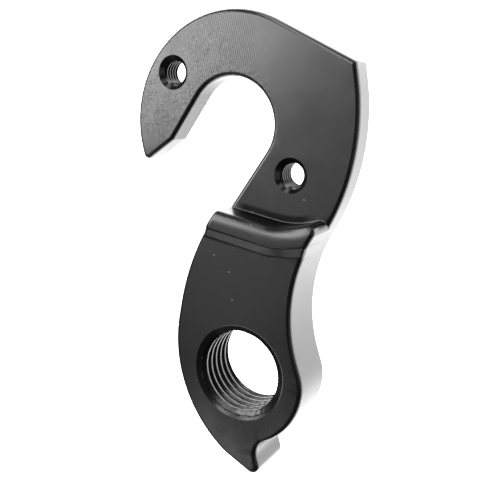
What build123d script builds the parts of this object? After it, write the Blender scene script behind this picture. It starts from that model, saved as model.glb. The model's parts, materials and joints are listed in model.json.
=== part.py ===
from build123d import *
import os
from math import atan2, cos, degrees, hypot, radians, sin, sqrt, tan

# Bicycle derailleur hanger, milled from one aluminium plate and black anodised.
#
# Frame: the derailleur bolt's axis is the Z axis and the flat back face is
# z = 0, so the plate lies on its back. +Z points out of the front face and +Y
# points from the derailleur bolt to the wheel axle. All sizes in millimetres.

# ---- driving dimensions ------------------------------------------------------
# thicknesses
T_HOOK = 3.2            # thin upper half, clamped in the frame's dropout
T_ARM = 6.2             # thick lower arm that carries the derailleur
LIP_RISE = 0.55         # raised lip at the top of the arm, above the arm's face
LIP_CROWN_R, LIP_CROWN_RUN = 3.2, 1.4   # the lip's top curves down towards the hook
LIP_SLOPE_RUN = 1.1     # how far the lip's lower side slopes before it meets the face
LIP_FOOT_R = 0.8        # hollow at the foot of that slope
LIP_CREST_R = 0.6       # rounding at its crest

# wheel axle slot
AXLE_Y = 26.75          # axle centre, straight above the derailleur bolt
AXLE_R = 5.0            # the slot takes a 10 mm quick-release axle
SLOT_ANGLE = 49.35      # direction of the slot's walls from +X
SLOT_LOWER_WALL = 8.0   # straight length of the slot's lower wall

# hook
HOOK_C = (-0.077, 26.627)     # centre of the hook's outer side, a little off the axle
HOOK_R = 12.075
HOOK_END_ANGLE = 28.8   # direction of the hook's end face from +X
HOOK_END_PT = (-9.53, 24.48)  # a point on the hook's end face
TOP_NORMAL = 57.96      # direction that the slanted top edge faces
SIDE_C = (-9.21, 28.92) # centre of the long convex right-hand side
SIDE_R = 23.86

# left-hand side of the arm, from the slot's lower wall downwards
LEFT_R1, LEFT_TURN1 = 26.6, 24.1
LEFT_RUN = 1.66
LEFT_R2 = 15.255
LEFT_R3, LEFT_TURN3 = 4.0, 10.0   # last bend into the tab's lower edge

# right-hand side of the arm, from the side arc downwards
WAIST_START = -36.72    # where the side arc hands over to the concave waist
WAIST_R, WAIST_TURN = 16.41, 48.93
WAIST_RUN = 1.292
SHOULDER_R, SHOULDER_TURN = 5.0, 26.11
BOSS_R, BOSS_TURN = 8.0, 54.62
NOTCH_R, NOTCH_TURN = 1.93, 80.15

# stop tab at the bottom
TAB_EDGE_ANGLE = -33.96 # direction of its lower left edge, tangent to the left side

# step between the thin and the thick half
STEP_LEFT = (-12.0, 21.16)
STEP_BEND = (6.6, 15.72)       # corner of the step line before it is rounded
STEP_RIGHT = (20.0, 17.88)
STEP_BEND_R = 9.0
STEP_END_L, STEP_END_R = 0.6, 0.75  # rounding of the step's two ends, in plan
STEP_ENDS = [(-0.98, 17.94), (11.13, 16.45)]  # about where they are
STEP_FOOT_R = 0.1              # small hollow where the step's wall meets the hook
LIP_WIDTH = 2.05               # step wall to the top of the lip's slope

# holes
BOLT_MINOR_R = 4.5      # M10x1 derailleur thread, minor radius
BOLT_SINK_R, BOLT_SINK_ANGLE = 5.38, 114.0
BOLT_BACK = 0.4         # chamfer at the back
SCREW_MINOR_R = 1.25    # M3x0.5 frame screws, minor radius
SCREW_SINK_R, SCREW_SINK_ANGLE = 1.88, 90.0
SCREW_BACK = 0.3
SCREW_PTS = [(-6.683, 32.866), (6.597, 20.944)]

OVERLAP = 3.0           # how far the hook runs into the arm where they join
INSET = 0.01            # the hook's side stands this much inside the arm's side

# edges
FRONT_R = 0.5           # rounding of the front edges
BACK_R = 0.4            # rounding of the back edges
TIP_R = 0.6             # hook tip, in plan
CORNER_R = 0.3          # small plan corners
TAB_TIP_R = 0.9


# ---- plan geometry ----------------------------------------------------------
def along(p, a, d):
    """The point a distance d from p in the direction a (degrees)."""
    return (p[0] + d * cos(radians(a)), p[1] + d * sin(radians(a)))


def turn(p, a, r, t):
    """Middle and end of a tangent arc from p, heading a. t > 0 turns left."""
    side = 90 if t > 0 else -90
    c = along(p, a + side, r)
    out = []
    for part in (t / 2, t):
        out.append(along(c, a - side + part, r))
    return out[0], out[1], a + t


def meet(p, a, q, b):
    """Where the line through p in direction a meets the one through q in b."""
    d = cos(radians(a)) * sin(radians(b)) - sin(radians(a)) * cos(radians(b))
    s = ((q[0] - p[0]) * sin(radians(b)) - (q[1] - p[1]) * cos(radians(b))) / d
    return along(p, a, s)


def line_circle(p, a, c, r, far):
    """Where the line through p in direction a meets a circle, first or far."""
    dx, dy = p[0] - c[0], p[1] - c[1]
    b = dx * cos(radians(a)) + dy * sin(radians(a))
    q = sqrt(b * b - (dx * dx + dy * dy - r * r))
    return along(p, a, -b + q if far else -b - q)


def on_arc(c, p, q, r, left):
    """A point half way round an arc about c from p to q."""
    a0 = degrees(atan2(p[1] - c[1], p[0] - c[0]))
    a1 = degrees(atan2(q[1] - c[1], q[0] - c[0]))
    if left:
        while a1 < a0:
            a1 += 360
    else:
        while a1 > a0:
            a1 -= 360
    return along(c, (a0 + a1) / 2, r)


def circle_of(p, q, s):
    """Centre and radius of the circle through three points."""
    ax, ay, bx, by, cx, cy = *p, *q, *s
    d = 2 * (ax * (by - cy) + bx * (cy - ay) + cx * (ay - by))
    a2, b2, c2 = ax * ax + ay * ay, bx * bx + by * by, cx * cx + cy * cy
    u = (a2 * (by - cy) + b2 * (cy - ay) + c2 * (ay - by)) / d
    v = (a2 * (cx - bx) + b2 * (ax - cx) + c2 * (bx - ax)) / d
    return (u, v), hypot(ax - u, ay - v)


AXLE = (0.0, AXLE_Y)

# axle slot
slot_mouth = meet(along(AXLE, SLOT_ANGLE + 90, AXLE_R), SLOT_ANGLE, HOOK_END_PT, HOOK_END_ANGLE)
slot_in = along(AXLE, SLOT_ANGLE + 90, AXLE_R)
slot_far = along(AXLE, SLOT_ANGLE, AXLE_R)
slot_out = along(AXLE, SLOT_ANGLE - 90, AXLE_R)
wall_end = along(slot_out, SLOT_ANGLE + 180, SLOT_LOWER_WALL)

# left-hand side of the arm
l1m, l1, head = turn(wall_end, SLOT_ANGLE + 180, LEFT_R1, LEFT_TURN1)
l2 = along(l1, head, LEFT_RUN)
left_c = along(l2, head + 90, LEFT_R2)
l3m, l3, head = turn(l2, head, LEFT_R2, TAB_EDGE_ANGLE + 360 - LEFT_TURN3 - head)
l4m, l4, _ = turn(l3, head, LEFT_R3, LEFT_TURN3)

# right-hand side, worked from the side arc downwards
r0 = along(SIDE_C, WAIST_START, SIDE_R)
r1m, r1, head = turn(r0, WAIST_START - 90, WAIST_R, WAIST_TURN)
r2 = along(r1, head, WAIST_RUN)
r3m, r3, head = turn(r2, head, SHOULDER_R, -SHOULDER_TURN)
r4m, r4, head = turn(r3, head, BOSS_R, -BOSS_TURN)
r5m, r5, head = turn(r4, head, NOTCH_R, NOTCH_TURN)
tab_tip = meet(r5, head, l4, TAB_EDGE_ANGLE)

# hook's outer side
top_tangent = along(HOOK_C, TOP_NORMAL, HOOK_R)
top_corner = line_circle(top_tangent, TOP_NORMAL - 90, SIDE_C, SIDE_R, True)
side_m = on_arc(SIDE_C, r0, top_corner, SIDE_R, True)
hook_tip = line_circle(HOOK_END_PT, HOOK_END_ANGLE, HOOK_C, HOOK_R, False)
hook_m = on_arc(HOOK_C, top_tangent, hook_tip, HOOK_R, True)

OUTLINE = [
    ("line", slot_mouth, slot_in),
    ("arc", slot_in, slot_far, slot_out),
    ("line", slot_out, wall_end),
    ("arc", wall_end, l1m, l1),
    ("line", l1, l2),
    ("arc", l2, l3m, l3),
    ("arc", l3, l4m, l4),
    ("line", l4, tab_tip),
    ("line", tab_tip, r5),
    ("arc", r5, r5m, r4),
    ("arc", r4, r4m, r3),
    ("arc", r3, r3m, r2),
    ("line", r2, r1),
    ("arc", r1, r1m, r0),
    ("arc", r0, side_m, top_corner),
    ("line", top_corner, top_tangent),
    ("arc", top_tangent, hook_m, hook_tip),
    ("line", hook_tip, slot_mouth),
]

# step line: straight, a wide bend, then straight to the right-hand side
bend_a = degrees(atan2(STEP_BEND[1] - STEP_LEFT[1], STEP_BEND[0] - STEP_LEFT[0]))
bend_b = degrees(atan2(STEP_RIGHT[1] - STEP_BEND[1], STEP_RIGHT[0] - STEP_BEND[0]))
bend_t = STEP_BEND_R * tan(radians((bend_b - bend_a) / 2))


def step_line(back):
    """Points of the step line, moved back into the arm by the given distance."""
    s0 = along(STEP_LEFT, bend_a - 90, back)
    s3 = along(STEP_RIGHT, bend_b - 90, back)
    corner = meet(s0, bend_a, s3, bend_b)
    r = STEP_BEND_R + back
    t = r * tan(radians((bend_b - bend_a) / 2))
    s1 = along(corner, bend_a, -t)
    m, s2, _ = turn(s1, bend_a, r, bend_b - bend_a)
    return s0, s1, m, s2, s3


def draw_outline():
    for kind, *pts in OUTLINE:
        if kind == "line":
            Line(*pts)
        else:
            ThreePointArc(*pts)


def on_step(e, back):
    """Whether an edge lies along the step line moved back into the arm, in plan."""
    s0, s1, m, s2, s3 = step_line(back)
    p = e.position_at(0.5)
    for q, a in ((s0, bend_a), (s3, bend_b)):
        if abs((p.X - q[0]) * sin(radians(a)) - (p.Y - q[1]) * cos(radians(a))) < 0.02:
            return True
    c = along(m, (bend_a + bend_b) / 2 + 90, STEP_BEND_R + back)
    return abs(hypot(p.X - c[0], p.Y - c[1]) - STEP_BEND_R - back) < 0.02


def flat_at(e, z):
    """Whether an edge lies level at height z."""
    b = e.bounding_box()
    return abs(b.min.Z - z) < 0.005 and abs(b.max.Z - z) < 0.005


def on_step_pt(v):
    """Whether a corner of the plan lies on the step line and on the outline."""
    for q, a in ((STEP_LEFT, bend_a), (STEP_RIGHT, bend_b)):
        if abs((v.X - q[0]) * sin(radians(a)) - (v.Y - q[1]) * cos(radians(a))) < 0.005:
            return True
    return False


def at_step_end(e):
    """Whether an edge runs round one of the two rounded ends of the step."""
    p = e.position_at(0.5)
    return any(hypot(p.X - x, p.Y - y) < 1.2 for x, y in STEP_ENDS)


def on_side(e):
    """Whether an edge lies on the outer side wall, seen in plan."""
    p = e.position_at(0.5)
    for kind, *pts in OUTLINE:
        if kind == "line":
            (x0, y0), (x1, y1) = pts
            n = hypot(x1 - x0, y1 - y0)
            off = ((p.X - x0) * (y1 - y0) - (p.Y - y0) * (x1 - x0)) / n
            run = ((p.X - x0) * (x1 - x0) + (p.Y - y0) * (y1 - y0)) / n
            if abs(off) < 0.01 and -0.01 < run < n + 0.01:
                return True
        else:
            c, r = circle_of(*pts)
            reach = hypot(pts[0][0] - pts[1][0], pts[0][1] - pts[1][1]) + 0.01
            if abs(hypot(p.X - c[0], p.Y - c[1]) - r) < 0.01 and hypot(p.X - pts[1][0], p.Y - pts[1][1]) < reach:
                return True
    return hypot(p.X - tab_tip[0], p.Y - tab_tip[1]) < 1.6


def near(p):
    return lambda v: hypot(v.X - p[0], v.Y - p[1]) < 0.01


def round_corners(sketch):
    for p, r in (
        (slot_mouth, CORNER_R),
        (hook_tip, TIP_R),
        (top_corner, CORNER_R),
        (tab_tip, TAB_TIP_R),
    ):
        found = sketch.vertices().filter_by(near(p))
        if found:
            fillet(found, r)


# ---- thin upper half: the hook ------------------------------------------------
with BuildPart() as hook:
    with BuildSketch() as hook_plan:
        with BuildLine():
            draw_outline()
        make_face()
        round_corners(hook_plan)
        # it runs a little way into the arm
        with BuildLine():
            a, b, m, c, d = step_line(OVERLAP)
            Line(a, b)
            ThreePointArc(b, m, c)
            Line(c, d)
            Polyline(d, (40, d[1]), (40, -40), (-40, -40), (-40, a[1]), a)
        make_face(mode=Mode.SUBTRACT)
        offset(amount=-INSET, mode=Mode.REPLACE)
    extrude(amount=T_HOOK)
    outer = hook.edges().filter_by(lambda e: not on_step(e, OVERLAP + INSET))
    fillet(outer.filter_by(lambda e: flat_at(e, T_HOOK)), FRONT_R)
    outer = hook.edges().filter_by(lambda e: not on_step(e, OVERLAP + INSET))
    fillet(outer.filter_by(lambda e: flat_at(e, 0)), BACK_R)

# ---- thick lower arm ----------------------------------------------------------
TOP = T_ARM + LIP_RISE
with BuildPart() as arm:
    with BuildSketch() as arm_plan:
        with BuildLine():
            draw_outline()
        make_face()
        round_corners(arm_plan)
        with BuildLine():
            a, b, m, c, d = step_line(0)
            Line(a, b)
            ThreePointArc(b, m, c)
            Line(c, d)
            Polyline(d, (40, d[1]), (40, 60), (-40, 60), (-40, a[1]), a)
        make_face(mode=Mode.SUBTRACT)
        # rounded ends of the step
        fillet(arm_plan.vertices().filter_by(on_step_pt).sort_by(Axis.X)[0], STEP_END_L)
        fillet(arm_plan.vertices().filter_by(on_step_pt).sort_by(Axis.X)[-1], STEP_END_R)
    extrude(amount=TOP + 0.5)
    # one cutter follows the step line and leaves the lip's crowned edge, its
    # flat top, the slope below it and the arm's face
    with BuildLine() as cut_path:
        a, b, m, c, d = step_line(0)
        Line(a, b)
        ThreePointArc(b, m, c)
        Line(c, d)
    start = Plane(
        origin=(*a, 0),
        x_dir=(0, 0, 1),
        z_dir=(cos(radians(bend_a)), sin(radians(bend_a)), 0),
    )
    slope = degrees(atan2(LIP_RISE, LIP_SLOPE_RUN))
    crest_t = LIP_CREST_R * tan(radians(slope / 2))
    foot_t = LIP_FOOT_R * tan(radians(slope / 2))
    cs, sn = cos(radians(slope)), sin(radians(slope))
    half_c, half_s = cos(radians(slope / 2)), sin(radians(slope / 2))
    u1, u2 = LIP_WIDTH, LIP_WIDTH + LIP_SLOPE_RUN

    def crown(u):
        return TOP - LIP_CROWN_R + sqrt(LIP_CROWN_R**2 - (LIP_CROWN_RUN - u) ** 2)

    with BuildSketch(start) as cut_profile:
        with BuildLine():
            u_out = -0.4
            ThreePointArc((crown(u_out), u_out), (crown(0.4), 0.4), (TOP, LIP_CROWN_RUN))
            Line((TOP, LIP_CROWN_RUN), (TOP, u1 - crest_t))
            ThreePointArc(
                (TOP, u1 - crest_t),
                (TOP - LIP_CREST_R * (1 - half_c), u1 - crest_t + LIP_CREST_R * half_s),
                (TOP - crest_t * sn, u1 + crest_t * cs),
            )
            Line((TOP - crest_t * sn, u1 + crest_t * cs), (T_ARM + foot_t * sn, u2 - foot_t * cs))
            ThreePointArc(
                (T_ARM + foot_t * sn, u2 - foot_t * cs),
                (T_ARM + LIP_FOOT_R * (1 - half_c), u2 + foot_t - LIP_FOOT_R * half_s),
                (T_ARM, u2 + foot_t),
            )
            Polyline((T_ARM, u2 + foot_t), (T_ARM, 36), (TOP + 2, 36), (TOP + 2, u_out), (crown(u_out), u_out))
        make_face()
    sweep(sections=cut_profile.sketch, path=cut_path.line, mode=Mode.SUBTRACT)
    # front edges all round the arm
    rim = arm.edges().filter_by(lambda e: e.bounding_box().min.Z > T_ARM - 0.5 and (on_side(e) or on_step(e, 0) or at_step_end(e)))
    fillet(rim, FRONT_R)
    # the back edges
    fillet(arm.edges().filter_by(lambda e: flat_at(e, 0)), BACK_R)

# ---- the hanger: both halves joined, drilled, and eased at the back -------------
with BuildPart() as hanger:
    add(hook.part)
    add(arm.part)
    fillet(hanger.edges().filter_by(lambda e: flat_at(e, T_HOOK) and on_step(e, 0)), STEP_FOOT_R)
    # derailleur bolt thread
    with Locations((0, 0, T_ARM)):
        CounterSinkHole(BOLT_MINOR_R, BOLT_SINK_R, counter_sink_angle=BOLT_SINK_ANGLE)
    # frame screw threads
    with Locations(*[(x, y, T_HOOK) for x, y in SCREW_PTS]):
        CounterSinkHole(SCREW_MINOR_R, SCREW_SINK_R, counter_sink_angle=SCREW_SINK_ANGLE)
    mouths = hanger.edges().filter_by(GeomType.CIRCLE).filter_by(lambda e: flat_at(e, 0))
    chamfer(mouths.filter_by(lambda e: abs(e.radius - BOLT_MINOR_R) < 0.01), BOLT_BACK)
    mouths = hanger.edges().filter_by(GeomType.CIRCLE).filter_by(lambda e: flat_at(e, 0))
    chamfer(mouths.filter_by(lambda e: abs(e.radius - SCREW_MINOR_R) < 0.01), SCREW_BACK)

os.makedirs("parts", exist_ok=True)
hanger.part.label = "derailleur_hanger"
export_step(hanger.part, "parts/derailleur_hanger.step")
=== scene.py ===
import json
from math import atan2, cos, hypot, pi, radians, sin, tan

import bmesh
import bpy
from mathutils import Matrix, Vector

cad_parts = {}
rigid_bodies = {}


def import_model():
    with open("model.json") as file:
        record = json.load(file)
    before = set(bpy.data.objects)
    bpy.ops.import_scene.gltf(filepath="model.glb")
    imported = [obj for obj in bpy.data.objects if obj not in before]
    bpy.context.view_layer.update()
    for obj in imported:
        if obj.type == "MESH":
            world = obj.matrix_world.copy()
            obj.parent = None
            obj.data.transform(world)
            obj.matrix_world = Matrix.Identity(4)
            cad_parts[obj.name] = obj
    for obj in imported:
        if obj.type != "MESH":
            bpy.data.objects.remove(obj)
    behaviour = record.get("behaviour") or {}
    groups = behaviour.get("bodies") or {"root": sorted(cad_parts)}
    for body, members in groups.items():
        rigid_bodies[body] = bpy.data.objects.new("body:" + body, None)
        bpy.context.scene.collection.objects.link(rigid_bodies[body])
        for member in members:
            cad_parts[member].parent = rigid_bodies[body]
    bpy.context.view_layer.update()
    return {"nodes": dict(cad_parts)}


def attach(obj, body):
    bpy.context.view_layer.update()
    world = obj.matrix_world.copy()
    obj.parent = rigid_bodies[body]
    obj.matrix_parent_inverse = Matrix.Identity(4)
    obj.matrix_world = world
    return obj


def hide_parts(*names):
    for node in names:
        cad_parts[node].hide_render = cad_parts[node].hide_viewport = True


for stale in list(bpy.data.objects):
    bpy.data.objects.remove(stale, do_unlink=True)

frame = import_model()
MM = 0.001
node = frame["nodes"]["derailleur_hanger"]


# ---- threads -------------------------------------------------------------------
# Each tapped hole: centre, front height, countersink radius and included angle at
# the front, minor and major radius, pitch, height of a crest at the -X side,
# chamfer at the back, columns round the hole and rows to a pitch (millimetres).
HOLES = [
    dict(c=(0.0, 0.0), top=6.2, sink=5.38, cone=114.0, minor=4.5, major=5.03, pitch=1.0,
         crest=5.19, back=0.4, cols=240, rows=24, torn=0.03),
    dict(c=(-6.683, 32.866), top=3.2, sink=1.88, cone=90.0, minor=1.25, major=1.53, pitch=0.5,
         crest=2.4, back=0.3, cols=96, rows=20, torn=0.0),
    dict(c=(6.597, 20.944), top=3.2, sink=1.88, cone=90.0, minor=1.25, major=1.53, pitch=0.5,
         crest=2.4, back=0.3, cols=96, rows=20, torn=0.0),
]


def thread_radius(h, theta, z):
    """Radius of a tapped wall with flat crests and narrower flat roots."""
    p, depth = h["pitch"], h["major"] - h["minor"]
    u = ((z - h["crest"]) / p - (theta - pi) / (2 * pi)) % 1.0
    u = min(u, 1.0 - u) * p                   # distance from the nearest crest, along the axis
    flank = depth * tan(radians(30))
    crest = max(0.02 * p, (p - 2 * flank) * 0.62) / 2
    x = min(1.0, max(0.0, (u - crest) / flank))
    x = x * x * (3 - 2 * x) * 0.35 + x * 0.65  # corners eased a little
    # the cut is uneven at the lower side of the large hole
    where = h["torn"] * max(0.0, cos(theta + 1.25)) ** 3
    wave = sin(7 * theta + 1.7 * z) + 0.8 * sin(19 * theta - 6.1 * z + 1.0) + 0.6 * sin(37 * theta + 9.3 * z + 2.0)
    return max(h["minor"] - 0.02, h["minor"] + depth * x + where * wave)


def wall_radius(h, theta, z):
    front = h["sink"] - (h["top"] - z) * tan(radians(h["cone"] / 2))
    back = h["minor"] + h["back"] - z
    return max(thread_radius(h, theta, z), front, back)


def zip_rings(bm, a, b):
    """Triangles between two closed rings of (angle, vertex), each sorted by angle."""
    i = j = 0
    na, nb = len(a), len(b)
    out = []
    while i < na or j < nb:
        ta = a[(i + 1) % na][0] + (2 * pi if i + 1 >= na else 0)
        tb = b[(j + 1) % nb][0] + (2 * pi if j + 1 >= nb else 0)
        if j >= nb or (i < na and ta <= tb):
            out.append((a[i % na][1], a[(i + 1) % na][1], b[j % nb][1]))
            i += 1
        else:
            out.append((a[i % na][1], b[(j + 1) % nb][1], b[j % nb][1]))
            j += 1
    for tri in out:
        bm.faces.new(tri)


def cut_thread(bm, h):
    cx, cy = h["c"]
    r_back = h["minor"] + h["back"]

    def polar(v):
        x, y = v.co.x / MM - cx, v.co.y / MM - cy
        return hypot(x, y), atan2(y, x) % (2 * pi), v.co.z / MM

    reach = max(h["sink"], r_back) + 0.003
    inside = [f for f in bm.faces if all(polar(v)[0] < reach for v in f.verts)]
    gone = [f for f in inside if not all(abs(polar(v)[2] - h["top"]) < 1e-3 for v in f.verts)
            and not all(abs(polar(v)[2]) < 1e-3 for v in f.verts)]
    bmesh.ops.delete(bm, geom=gone, context="FACES")
    # the two rims that are left, made rounder
    rims = ((h["top"], h["sink"]), (0.0, r_back))

    def rim_edges(z0, r0, slack):
        return [e for e in bm.edges if e.is_boundary
                and all(abs(polar(v)[2] - z0) < 1e-3 and abs(polar(v)[0] - r0) < slack for v in e.verts)]

    for z0, r0 in rims:
        bmesh.ops.subdivide_edges(bm, edges=rim_edges(z0, r0, 5e-3), cuts=3)
    loops = []
    for z0, r0 in rims:
        loop = []
        for v in {v for e in rim_edges(z0, r0, 0.05) for v in e.verts}:
            t = polar(v)[1]
            v.co = Vector((cx + r0 * cos(t), cy + r0 * sin(t), z0)) * MM
            loop.append((t, v))
        loops.append(sorted(loop, key=lambda k: k[0]))
    top, low = loops
    # the wall, ring by ring
    n = h["cols"]
    step = h["pitch"] / h["rows"]
    count = int(round((h["top"] - 0.0) / step))
    above = top
    for k in range(1, count):
        z = h["top"] * (1 - k / count)
        ring = []
        for c in range(n):
            t = 2 * pi * (c + 0.5) / n
            r = wall_radius(h, t, z)
            ring.append((t, bm.verts.new(Vector((cx + r * cos(t), cy + r * sin(t), z)) * MM)))
        if k == 1:
            zip_rings(bm, above, ring)
        else:
            for c in range(n):
                d = (c + 1) % n
                bm.faces.new((above[c][1], above[d][1], ring[d][1], ring[c][1]))
        above = ring
    zip_rings(bm, above, low)


# ---- the hanger ----------------------------------------------------------------
bm = bmesh.new()
bm.from_mesh(node.data)
bmesh.ops.remove_doubles(bm, verts=bm.verts, dist=2e-7)
# upright faces set the shading where a rounding runs into them
bm.normal_update()
strength = bm.faces.layers.int.new("__mod_weightednormals_faceweight")
for f in bm.faces:
    if abs(f.normal.z) < 0.02 and f.calc_area() > 2e-8:
        f[strength] = 16384
for h in HOLES:
    cut_thread(bm, h)
bmesh.ops.recalc_face_normals(bm, faces=bm.faces)
open_edges = sum(1 for e in bm.edges if not e.is_manifold)
for f in bm.faces:
    f.smooth = True
for e in bm.edges:
    e.smooth = len(e.link_faces) == 2 and e.calc_face_angle(0) < radians(32)
mesh = bpy.data.meshes.new("hanger_plate")
bm.to_mesh(mesh)
bm.free()
plate = bpy.data.objects.new("hanger_plate", mesh)
bpy.context.scene.collection.objects.link(plate)
wn = plate.modifiers.new("even_shading", "WEIGHTED_NORMAL")
wn.mode = "FACE_AREA"
wn.weight = 60
wn.keep_sharp = True
wn.use_face_influence = True
print("open edges", open_edges, "triangles", sum(len(p.vertices) - 2 for p in mesh.polygons))


# ---- black anodised finish -----------------------------------------------------
mat = bpy.data.materials.new("black_anodised")
mat.use_nodes = True
nt = mat.node_tree
bsdf = nt.nodes["Principled BSDF"]


def add(kind, **sets):
    """A node with the given properties, and its sockets set by name or number."""
    n = nt.nodes.new("ShaderNode" + kind)
    for k, v in sets.items():
        if k.startswith("in_"):
            key = k[3:].replace("_", " ")
            n.inputs[int(key) if key.isdigit() else key].default_value = v
        else:
            setattr(n, k, v)
    return n


def join(a, b, out=0, to=0):
    nt.links.new(a.outputs[out], b.inputs[to])
    return b


def math(op, a, b, clamp=False):
    """a op b, where each is a node or a number."""
    n = add("Math", operation=op, use_clamp=clamp)
    for k, v in enumerate((a, b)):
        if isinstance(v, (int, float)):
            n.inputs[k].default_value = v
        else:
            nt.links.new(v.outputs[0], n.inputs[k])
    return n


def ramp(source, lo, hi, to_lo=0.0, to_hi=1.0, out=0):
    n = add("MapRange", interpolation_type="SMOOTHSTEP", in_From_Min=lo, in_From_Max=hi, in_To_Min=to_lo, in_To_Max=to_hi)
    return join(source, n, out)


coords = add("TexCoord")
place = add("VectorMath", operation="SCALE", in_Scale=1000.0)      # millimetres
nt.links.new(coords.outputs["Object"], place.inputs[0])


def near_point(x, y, z, inner, outer):
    """1 within the inner distance of a point, 0 beyond the outer one."""
    d = join(place, add("VectorMath", operation="DISTANCE", in_1=(x, y, z)))
    return ramp(d, inner, outer, 1.0, 0.0, out="Value")


def noise(scale, detail, rough=0.55):
    n = add("TexNoise", in_Scale=scale, in_Detail=detail, in_Roughness=rough)
    return join(place, n, to="Vector")


def lines(turn, gap, wander):
    """Fine parallel tool marks, a gap apart, running at an angle from +Y."""
    m = add("Mapping", in_Rotation=(0, 0, radians(turn)))
    join(place, m, to="Vector")
    w = add("TexWave", wave_type="BANDS", bands_direction="X", in_Scale=2 * pi / (20 * gap), in_Distortion=wander,
            in_Detail=2.0, in_Detail_Scale=0.25)
    return join(m, w, to="Vector")


# tool marks on the hook's top and on the stop tab, grain round the hook
hook_lines = math("SUBTRACT", lines(-6, 0.235, 0.5), 0.5)
hook_marks = math("MULTIPLY", hook_lines, near_point(-0.6, 35.2, 3.2, 2.4, 6.5))
tab_lines = math("SUBTRACT", lines(-4, 0.3, 0.8), 0.5)
tab_marks = math("MULTIPLY", tab_lines, near_point(0.8, -8.4, 6.2, 1.5, 4.0))
patchy = noise(0.55, 2.0)
grain_area = math("MULTIPLY", near_point(-6.5, 31.0, 3.2, 5.0, 11.5), ramp(patchy, 0.36, 0.62, 0.25, 1.0))
rim = join(place, add("VectorMath", operation="MULTIPLY", in_1=(1, 1, 0)))
rim = join(rim, add("VectorMath", operation="DISTANCE", in_1=(0, 26.75, 0)))
rim_area = math("MULTIPLY", ramp(rim, 5.2, 7.4, 1.0, 0.0, out="Value"), near_point(-1.5, 29.0, 3.2, 5.0, 9.0))
grain_area = math("MAXIMUM", grain_area, rim_area)
grain = math("MULTIPLY", math("SUBTRACT", noise(4.2, 2.0, 0.7), 0.5), grain_area)
# distance from the step's line, on the hook's side of it
geo = add("NewGeometry")
facing = join(geo, add("SeparateXYZ"), out="Normal")
place_xyz = join(place, add("SeparateXYZ"))


def plane(x, y, z, offset):
    """Distance from a plane, by its normal and its offset."""
    d = join(place, add("VectorMath", operation="DOT_PRODUCT", in_1=(x, y, z)))
    return join(d, add("Math", operation="ADD", in_1=offset), out="Value")


from_step = add("Math", operation="SMOOTH_MIN", in_2=1.36)
join(plane(0.2807, 0.9598, 0, -16.941), from_step)
join(plane(-0.1591, 0.9873, 0, -14.471), from_step, to=1)
# painted shade: the step's wall, its upper edge and the hook beside its foot get less shine, so they show darker
# there
wall_start = ramp(plane(1, 0, -0.575, 2.724), -0.7, 0.7)
painted_shade_dull = math("MULTIPLY", ramp(facing, 0.4, 0.5, out="Y"), ramp(facing, 0.45, 0.75, 1.0, 0.0, out="Z"))
painted_shade_dull = math("MULTIPLY", math("MULTIPLY", painted_shade_dull, wall_start), near_point(5.0, 16.6, 4.8, 6.5, 8.0))
# painted shade on the hook's face beside the step's foot
painted_foot_shade = math("MULTIPLY", ramp(from_step, 0.5, 0.95, 1.0, 0.0), ramp(facing, 0.9, 0.97, out="Z"))
painted_foot_shade = math("MULTIPLY", painted_foot_shade, ramp(place_xyz, -0.3, 0.9, out="X"))
painted_foot_shade = math("MULTIPLY", painted_foot_shade, ramp(place_xyz, 7.4, 9.4, 1.0, 0.0, out="X"))
painted_foot_shade = math("MULTIPLY", painted_foot_shade, ramp(place_xyz, 3.25, 3.35, 1.0, 0.0, out="Z"))
painted_shade_dull = math("MAXIMUM", painted_shade_dull, math("MULTIPLY", painted_foot_shade, 0.92))
# painted shade on a round patch at the step wall's right end
painted_wall_end_shade = math("MULTIPLY", near_point(10.45, 15.75, 4.5, 0.6, 1.1), ramp(facing, 0.0, 0.3, out="Y"))
painted_shade_dull = math("MAXIMUM", painted_shade_dull, painted_wall_end_shade)
# the same marks dull the shine a little
shine = math("ADD", math("MULTIPLY", hook_marks, 0.19), math("MULTIPLY", grain, 0.9))
shine = math("ADD", shine, math("MULTIPLY", tab_marks, 0.06))
shine = math("ADD", shine, 0.5, clamp=True)
# the painted shade takes away up to 85 percent of the shine
shine = math("MULTIPLY", shine, math("SUBTRACT", 1.0, math("MULTIPLY", painted_shade_dull, 0.85)))
nt.links.new(shine.outputs[0], bsdf.inputs["Specular IOR Level"])
# rougher thread cut at the bottom of the large hole
cut_area = near_point(0.3, -5.0, 3.4, 2.2, 5.2)
cut = math("MULTIPLY", noise(2.6, 3.0, 0.65), cut_area)

height = math("MULTIPLY", hook_marks, 0.9)
height = math("ADD", height, math("MULTIPLY", tab_marks, 0.05))
height = math("ADD", height, math("MULTIPLY", grain, 2.6))
height = math("ADD", height, math("MULTIPLY", noise(6.0, 2.0), 0.22))
height = math("ADD", height, math("MULTIPLY", noise(0.16, 1.0), 1.5))
bump = add("Bump", in_Strength=1.0, in_Distance=0.000005)
join(height, bump, to="Height")
# the step's wall was cut with a slightly tapered mill
upright = math("MULTIPLY", ramp(facing, 0.8, 0.9, out="Y"), ramp(facing, 0.02, 0.12, 1.0, 0.0, out="Z"))
lean_start = ramp(plane(1, 0, -0.575, 2.724), 0.5, 2.8)
step_wall = math("MULTIPLY", math("MULTIPLY", upright, lean_start), near_point(5.0, 16.6, 4.6, 6.5, 8.0))
taper = join(step_wall, add("CombineXYZ"), to="Z")
taper = join(taper, add("VectorMath", operation="SCALE", in_Scale=0.12))
lean = join(geo, add("VectorMath", operation="ADD"), out="Normal")
join(taper, lean, to=1)
join(join(lean, add("VectorMath", operation="NORMALIZE")), bump, to="Normal")
nt.links.new(bump.outputs["Normal"], bsdf.inputs["Normal"])

# roughness varies a little all over, and is higher in the grain and the cut thread
rough = ramp(noise(0.4, 4.0, 0.6), 0.3, 0.7, 0.2, 0.25)
rough = math("ADD", rough, math("MULTIPLY", grain_area, 0.02))
rough = math("ADD", rough, math("MULTIPLY", cut, 0.22))
nt.links.new(rough.outputs[0], bsdf.inputs["Roughness"])
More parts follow.
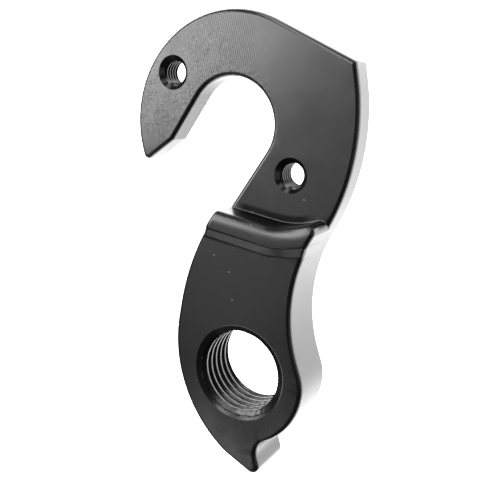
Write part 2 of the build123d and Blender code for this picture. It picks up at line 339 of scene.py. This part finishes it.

# black dye, with a slight mottle and a few pale specks, and painted highlight lines in the same pale colour
specks_and_painted_highlights = None
for x, y, z in ((7.94, 18.38, 3.2), (-1.7, 13.07, 6.2), (-0.03, 11.24, 6.2), (0.04, 8.18, 6.2), (1.84, 17.23, 3.25), (3.33, 16.34, 6.62)):
    one = near_point(x, y, z, 0.04, 0.11)
    specks_and_painted_highlights = one if specks_and_painted_highlights is None else math("MAXIMUM", specks_and_painted_highlights, one)
# painted highlights: a pale line along the step's inner corner, and a pale ring at the rim of the large hole
painted_foot_highlight = math("MULTIPLY", ramp(place_xyz, 3.2, 3.212, out="Z"), ramp(place_xyz, 3.27, 3.3, 1.0, 0.0, out="Z"))
painted_foot_highlight = math("MULTIPLY", painted_foot_highlight, ramp(facing, 0.9, 0.98, 1.0, 0.0, out="Z"))
painted_foot_highlight = math("MULTIPLY", painted_foot_highlight, near_point(5.0, 16.8, 3.2, 6.6, 7.4))
for side, off in ((-0.6, -0.4), (0.6, 0.4)):                         # not on the outer sides
    painted_foot_highlight = math("MULTIPLY", painted_foot_highlight, ramp(facing, side, off, out="X"))
flat = join(place, add("VectorMath", operation="MULTIPLY", in_1=(1, 1, 0)))
bolt_rim = join(flat, add("VectorMath", operation="DISTANCE", in_1=(0, 0, 0)))
# painted highlight: a pale ring at the countersink's outer edge
ring = math("MULTIPLY", ramp(bolt_rim, 5.28, 5.33, out="Value"), ramp(bolt_rim, 5.38, 5.41, 1.0, 0.0, out="Value"))
ring = math("MULTIPLY", ring, near_point(3.2, 2.4, 6.2, 4.5, 6.5))
# the painted highlights join the pale specks
specks_and_painted_highlights = math("MAXIMUM", specks_and_painted_highlights, math("MULTIPLY", painted_foot_highlight, 0.55))
specks_and_painted_highlights = math("MAXIMUM", specks_and_painted_highlights, math("MULTIPLY", ring, 0.7))
dye = add("ValToRGB")
dye.color_ramp.elements[0].position, dye.color_ramp.elements[0].color = 0.3, (0.0052, 0.0052, 0.0054, 1)
dye.color_ramp.elements[1].position, dye.color_ramp.elements[1].color = 0.75, (0.0095, 0.0095, 0.0097, 1)
join(noise(1.3, 5.0, 0.65), dye)
speck_and_highlight_tint = add("MixRGB", in_2=(0.3, 0.3, 0.3, 1))
nt.links.new(specks_and_painted_highlights.outputs[0], speck_and_highlight_tint.inputs[0])
nt.links.new(dye.outputs[0], speck_and_highlight_tint.inputs[1])
nt.links.new(speck_and_highlight_tint.outputs[0], bsdf.inputs["Base Color"])
bsdf.inputs["IOR"].default_value = 1.7
mesh.materials.append(mat)

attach(plate, "root")
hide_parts("derailleur_hanger")

# ---- floor -----------------------------------------------------------------------
fm = bpy.data.meshes.new("floor")
S = 3.0
fm.from_pydata([(-S, -S, 0), (S, -S, 0), (S, S, 0), (-S, S, 0)], [], [(0, 1, 2, 3)])
floor = bpy.data.objects.new("floor", fm)
floor.location = (0, 0, -0.0005)
bpy.context.scene.collection.objects.link(floor)
fmat = bpy.data.materials.new("pale_floor")
fmat.use_nodes = True
fb = fmat.node_tree.nodes["Principled BSDF"]
fb.inputs["Base Color"].default_value = (0.9, 0.9, 0.9, 1)
fb.inputs["Roughness"].default_value = 0.8
fb.inputs["Emission Color"].default_value = (1, 1, 1, 1)
# it glows like a lit table round the hanger and is dimmer further off
ft = fmat.node_tree
fpos = ft.nodes.new("ShaderNodeTexCoord")
faway = ft.nodes.new("ShaderNodeVectorMath")
faway.operation = "DISTANCE"
faway.inputs[1].default_value = (0.009, 0.014, 0)
fglow = ft.nodes.new("ShaderNodeMapRange")
fglow.interpolation_type = "SMOOTHSTEP"
fglow.inputs["From Min"].default_value = 0.036
fglow.inputs["From Max"].default_value = 0.075
fglow.inputs["To Min"].default_value = 2.9
fglow.inputs["To Max"].default_value = 0.25
ft.links.new(fpos.outputs["Object"], faway.inputs[0])
ft.links.new(faway.outputs["Value"], fglow.inputs["Value"])
ft.links.new(fglow.outputs["Result"], fb.inputs["Emission Strength"])
fm.materials.append(fmat)

# ---- light -----------------------------------------------------------------------
scene = bpy.context.scene
world = bpy.data.worlds.new("studio")
scene.world = world
world.use_nodes = True
world.node_tree.nodes["Background"].inputs["Color"].default_value = (1, 1, 1, 1)
world.node_tree.nodes["Background"].inputs["Strength"].default_value = 0.03


def softbox(name, azimuth, elevation, spread, radiance, tall=None, distance=0.45):
    """A soft light, seen from the hanger at an azimuth from +X and an elevation.

    It is round, or an upright strip where its half height is given too.
    """
    a, e = radians(azimuth), radians(elevation)
    v = Vector((cos(e) * cos(a), cos(e) * sin(a), sin(e)))
    d = bpy.data.lights.new(name, "AREA")
    d.size = 2 * distance * tan(radians(spread))
    if tall is None:
        d.shape = "DISK"
        d.energy = radiance * pi * pi * (d.size / 2) ** 2
    else:
        d.shape = "RECTANGLE"
        d.size_y = 2 * distance * tan(radians(tall))
        d.energy = radiance * pi * d.size * d.size_y
    o = bpy.data.objects.new(name, d)
    o.location = Vector((0.0, 0.014, 0.005)) + v * distance
    o.rotation_mode = "QUATERNION"
    o.rotation_quaternion = (-v).to_track_quat("-Z", "Y")
    scene.collection.objects.link(o)
    return o


softbox("key", 156.5, 48.5, 15.7, 5.9)
softbox("key_low", 130, 31, 9, 4.5)
softbox("low_fill", 150, 19, 7, 2.0)
softbox("top", 178, 74, 12, 0.6)
softbox("high", 142, 67, 5, 3.0)
softbox("back_high", 112, 69, 8, 2.2)
softbox("back_strip", 89, 46, 8, 4.0, tall=20)
softbox("back_low", 89, 15, 8, 1.9, tall=11)
softbox("back_right", 52, 21, 10, 1.4)
softbox("right", 352, 28, 20, 0.3)
softbox("left_high", 200, 58, 8, 0.62)
softbox("left_mid", 223, 49, 5, 1.7)
softbox("front_low", 248, 26, 8, 1.0)
softbox("horizon_left", 229, 15, 8, 1.1)

# ---- camera ----------------------------------------------------------------------
cam_data = bpy.data.cameras.new("camera")
cam_data.sensor_width = 36.0
cam_data.lens = 57.945
cam_data.clip_start, cam_data.clip_end = 0.005, 10
cam = bpy.data.objects.new("camera", cam_data)
cam.matrix_world = Matrix((
    (0.872875, -0.000461, 0.487944, 0.0411515),
    (-0.084301, 0.984820, 0.151736, 0.0269854),
    (-0.480606, -0.173580, 0.859586, 0.0757883),
    (0, 0, 0, 1),
))
scene.collection.objects.link(cam)
scene.camera = cam
scene.view_settings.view_transform = "Standard"
